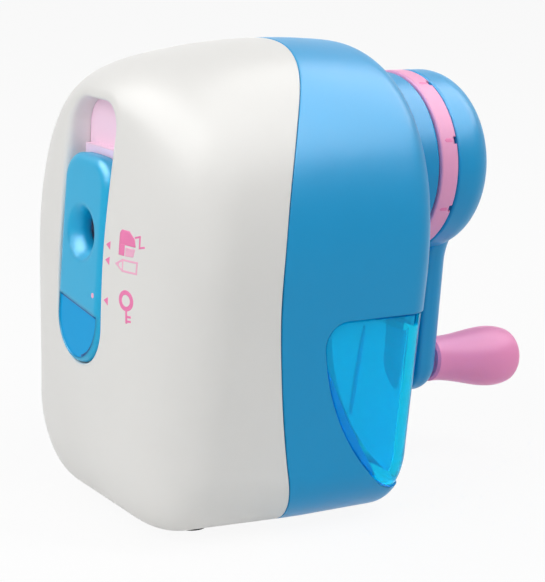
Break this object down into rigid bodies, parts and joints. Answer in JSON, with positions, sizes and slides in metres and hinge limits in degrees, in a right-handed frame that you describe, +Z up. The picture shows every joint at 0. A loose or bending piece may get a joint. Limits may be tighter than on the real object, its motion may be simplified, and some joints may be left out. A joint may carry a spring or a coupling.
{
  "type": "pencil sharpener",
  "caption": "Hand-crank pencil sharpener: rounded two-shell case, sliding pencil gate, point dial and crank at the rear, planetary cutter inside, clear shavings tray.",
  "frame": {"origin": "bottom centre of the whole object, on the table", "axes": "+Z up, +Y rearward from the pencil gate to the crank, +X to the right seen from the front"},
  "size_m": [0.0774, 0.1286, 0.1106],
  "materials": {
    "white_case": "glossy moulded white plastic",
    "blue_case": "glossy moulded blue plastic",
    "sky_gate": "glossy moulded sky-blue plastic",
    "inlay_blue": "deep glossy blue plastic",
    "pale_pink": "satin pale pink plastic",
    "knob_pink": "glossy mid pink plastic",
    "clear_blue": "clear azure plastic",
    "foot_rubber": "soft dark rubber",
    "steel": "bright steel",
    "inner_grey": "grey moulded plastic",
    "bush_tan": "self-lubricating bearing plastic"
  },
  "bodies": {
    "housing": {"front_shell": "white_case", "rear_shell": "blue_case", "tie_plate": "inner_grey", "base_screws": "steel", "rubber_feet": "foot_rubber", "guide_plate": "pale_pink", "guide_screws": "steel", "gear_frame": "inner_grey", "frame_screws": "steel", "ring_gear": "bush_tan", "guide_rods": "steel", "return_springs": "steel", "rear_bush": "bush_tan", "rear_collar": "blue_case", "tray_cradle": "blue_case"},
    "crank": {"crank_arm": "blue_case", "hub_base": "blue_case", "hub_screws": "steel", "crank_shaft": "steel", "cutter_carrier": "steel", "cutter_axle": "steel", "knob_pin": "steel"},
    "crank_knob": {"knob": "knob_pink"},
    "point_dial": {"dial_ring": "pale_pink"},
    "point_stop": {"stop_rod": "steel"},
    "cutter": {"helical_cutter": "steel", "cutter_pinion": "steel"},
    "gate": {"slider": "sky_gate", "slider_inlay": "inlay_blue"},
    "chuck": {"chuck_carriage": "inner_grey", "chuck_cover": "inner_grey", "jaw_springs": "steel"},
    "grip_right": {"jaw_right": "bush_tan"},
    "grip_left": {"jaw_left": "bush_tan"},
    "tray": {"chip_tray": "clear_blue"}
  },
  "joints": [
    {"name": "crank_spin", "type": "hinge", "parent": "housing", "child": "crank", "pos_m": [0, 0.02746, 0.0802], "axis": [0, 1, 0], "continuous": true},
    {"name": "knob_spin", "type": "hinge", "parent": "crank", "child": "crank_knob", "pos_m": [0, 0.03594, 0.028], "axis": [0, 0.9976, -0.0698], "continuous": true},
    {"name": "dial_turn", "type": "hinge", "parent": "crank", "child": "point_dial", "pos_m": [0, 0.02246, 0.0802], "axis": [0, 1, 0], "range_deg": [-88, 88]},
    {"name": "stop_travel", "type": "slide", "parent": "crank", "child": "point_stop", "axis": [0, 1, 0], "range_m": [-0.0008, 0.0008]},
    {"name": "cutter_spin", "type": "hinge", "parent": "crank", "child": "cutter", "pos_m": [0, -0.02784, 0.09179], "axis": [0, 0.9816, -0.1908], "continuous": true},
    {"name": "gate_slide", "type": "slide", "parent": "housing", "child": "gate", "axis": [0, 0, 1], "range_m": [0, 0.0118]},
    {"name": "chuck_feed", "type": "slide", "parent": "housing", "child": "chuck", "axis": [0, 1, 0], "range_m": [0, 0.0042], "stiffness_N_per_m": 300, "springref_m": -0.004, "deforming": ["return_springs"]},
    {"name": "jaw_right_grip", "type": "slide", "parent": "chuck", "child": "grip_right", "axis": [1, 0, 0], "range_m": [0, 0.002], "stiffness_N_per_m": 300, "springref_m": -0.001, "deforming": ["jaw_springs"]},
    {"name": "jaw_left_grip", "type": "slide", "parent": "chuck", "child": "grip_left", "axis": [-1, 0, 0], "range_m": [0, 0.002]},
    {"name": "tray_slide", "type": "slide", "parent": "housing", "child": "tray", "axis": [1, 0, 0], "range_m": [0, 0.07]}
  ],
  "couplings": [
    {"joint": "cutter_spin", "follows": "crank_spin", "ratio": -3.3},
    {"joint": "stop_travel", "follows": "dial_turn", "m_per_rad": 0.00052087},
    {"joint": "jaw_left_grip", "follows": "jaw_right_grip", "ratio": 1}
  ]
}
